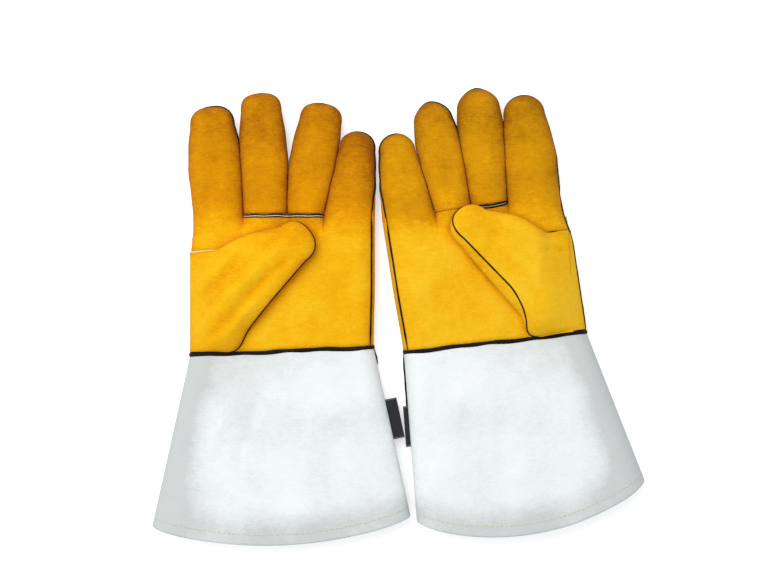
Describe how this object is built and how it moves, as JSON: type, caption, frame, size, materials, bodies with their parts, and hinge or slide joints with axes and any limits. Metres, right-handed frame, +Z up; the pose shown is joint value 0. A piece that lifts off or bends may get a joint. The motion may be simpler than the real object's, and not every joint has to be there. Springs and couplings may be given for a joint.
{
  "type": "lined leather gauntlet gloves",
  "caption": "Pair of lined split-leather gauntlet work gloves lying palm up, with flexing fingers, folded thumbs, welted seams and flared cuffs.",
  "frame": {"origin": "middle of the pair's footprint, on the surface that the gloves lie on", "axes": "+X from the left glove to the right glove, +Y towards the fingertips, +Z up out of the palms"},
  "size_m": [0.3826, 0.3634, 0.0404],
  "materials": {
    "palm_leather": "napped split leather, golden yellow",
    "cuff_leather": "napped split leather, warm grey",
    "welt": "matt black welting strip",
    "lining": "brushed cotton fleece",
    "label": "plain woven tape",
    "thread": "twisted sewing thread"
  },
  "bodies": {
    "left_hand": {"left_palm_panel": "palm_leather", "left_thumb_root": "palm_leather", "left_back_panel": "palm_leather", "left_hand_lining": "lining", "left_hand_welts": "welt"},
    "left_index": {"left_index_front": "palm_leather", "left_index_back": "palm_leather", "left_index_welt": "welt", "left_index_lining": "lining"},
    "left_middle": {"left_middle_front": "palm_leather", "left_middle_back": "palm_leather", "left_middle_welt": "welt", "left_middle_lining": "lining"},
    "left_ring": {"left_ring_front": "palm_leather", "left_ring_back": "palm_leather", "left_ring_welt": "welt", "left_ring_lining": "lining"},
    "left_little": {"left_little_front": "palm_leather", "left_little_back": "palm_leather", "left_little_welt": "welt", "left_little_lining": "lining"},
    "left_thumb": {"left_thumb_front": "palm_leather", "left_thumb_back": "palm_leather", "left_thumb_welt": "welt", "left_thumb_lining": "lining"},
    "left_cuff": {"left_cuff_panel": "cuff_leather", "left_cuff_hem": "cuff_leather", "left_cuff_lining": "lining", "left_cuff_welt": "welt", "left_cuff_label": "label"},
    "right_hand": {"right_palm_panel": "palm_leather", "right_thumb_root": "palm_leather", "right_back_panel": "palm_leather", "right_hand_lining": "lining", "right_hand_welts": "welt"},
    "right_index": {"right_index_front": "palm_leather", "right_index_back": "palm_leather", "right_index_welt": "welt", "right_index_lining": "lining"},
    "right_middle": {"right_middle_front": "palm_leather", "right_middle_back": "palm_leather", "right_middle_welt": "welt", "right_middle_lining": "lining"},
    "right_ring": {"right_ring_front": "palm_leather", "right_ring_back": "palm_leather", "right_ring_welt": "welt", "right_ring_lining": "lining"},
    "right_little": {"right_little_front": "palm_leather", "right_little_back": "palm_leather", "right_little_welt": "welt", "right_little_lining": "lining"},
    "right_thumb": {"right_thumb_front": "palm_leather", "right_thumb_back": "palm_leather", "right_thumb_welt": "welt", "right_thumb_lining": "lining"},
    "right_cuff": {"right_cuff_panel": "cuff_leather", "right_cuff_hem": "cuff_leather", "right_cuff_lining": "lining", "right_cuff_welt": "welt", "right_cuff_label": "label"}
  },
  "joints": [
    {"name": "left_index_curl", "type": "hinge", "parent": "left_hand", "child": "left_index", "pos_m": [-0.14269, 0.07863, 0.024], "axis": [1, 0, 0], "range_deg": [0, 80]},
    {"name": "left_middle_curl", "type": "hinge", "parent": "left_hand", "child": "left_middle", "pos_m": [-0.10469, 0.07863, 0.024], "axis": [1, 0, 0], "range_deg": [0, 80]},
    {"name": "left_ring_curl", "type": "hinge", "parent": "left_hand", "child": "left_ring", "pos_m": [-0.07319, 0.07863, 0.024], "axis": [1, 0, 0], "range_deg": [0, 80]},
    {"name": "left_little_curl", "type": "hinge", "parent": "left_hand", "child": "left_little", "pos_m": [-0.03919, 0.07863, 0.024], "axis": [1, 0, 0], "range_deg": [0, 80]},
    {"name": "left_thumb_lift", "type": "hinge", "parent": "left_hand", "child": "left_thumb", "pos_m": [-0.12969, 0.01908, 0.0404], "axis": [0.3873, -0.922, 0], "range_deg": [0, 100]},
    {"name": "left_wrist_fold", "type": "hinge", "parent": "left_hand", "child": "left_cuff", "pos_m": [-0.09169, -0.02837, 0.024], "axis": [-0.999, -0.0436, 0], "range_deg": [0, 50]},
    {"name": "right_index_curl", "type": "hinge", "parent": "right_hand", "child": "right_index", "pos_m": [0.10934, 0.09217, 0.024], "axis": [0.9882, 0.153, 0], "range_deg": [0, 80]},
    {"name": "right_middle_curl", "type": "hinge", "parent": "right_hand", "child": "right_middle", "pos_m": [0.07179, 0.08636, 0.024], "axis": [0.9882, 0.153, 0], "range_deg": [0, 80]},
    {"name": "right_ring_curl", "type": "hinge", "parent": "right_hand", "child": "right_ring", "pos_m": [0.04066, 0.08154, 0.024], "axis": [0.9882, 0.153, 0], "range_deg": [0, 80]},
    {"name": "right_little_curl", "type": "hinge", "parent": "right_hand", "child": "right_little", "pos_m": [0.00706, 0.07634, 0.024], "axis": [0.9882, 0.153, 0], "range_deg": [0, 80]},
    {"name": "right_thumb_lift", "type": "hinge", "parent": "right_hand", "child": "right_thumb", "pos_m": [0.10561, 0.03133, 0.0404], "axis": [0.2417, 0.9704, 0], "range_deg": [0, 100]},
    {"name": "right_wrist_fold", "type": "hinge", "parent": "right_hand", "child": "right_cuff", "pos_m": [0.07531, -0.02137, 0.024], "axis": [-0.994, -0.1097, 0], "range_deg": [0, 50]},
    {"name": "pair_spread", "type": "slide", "parent": "left_hand", "child": "right_hand", "axis": [1, 0, 0], "range_m": [0, 0.15]}
  ]
}
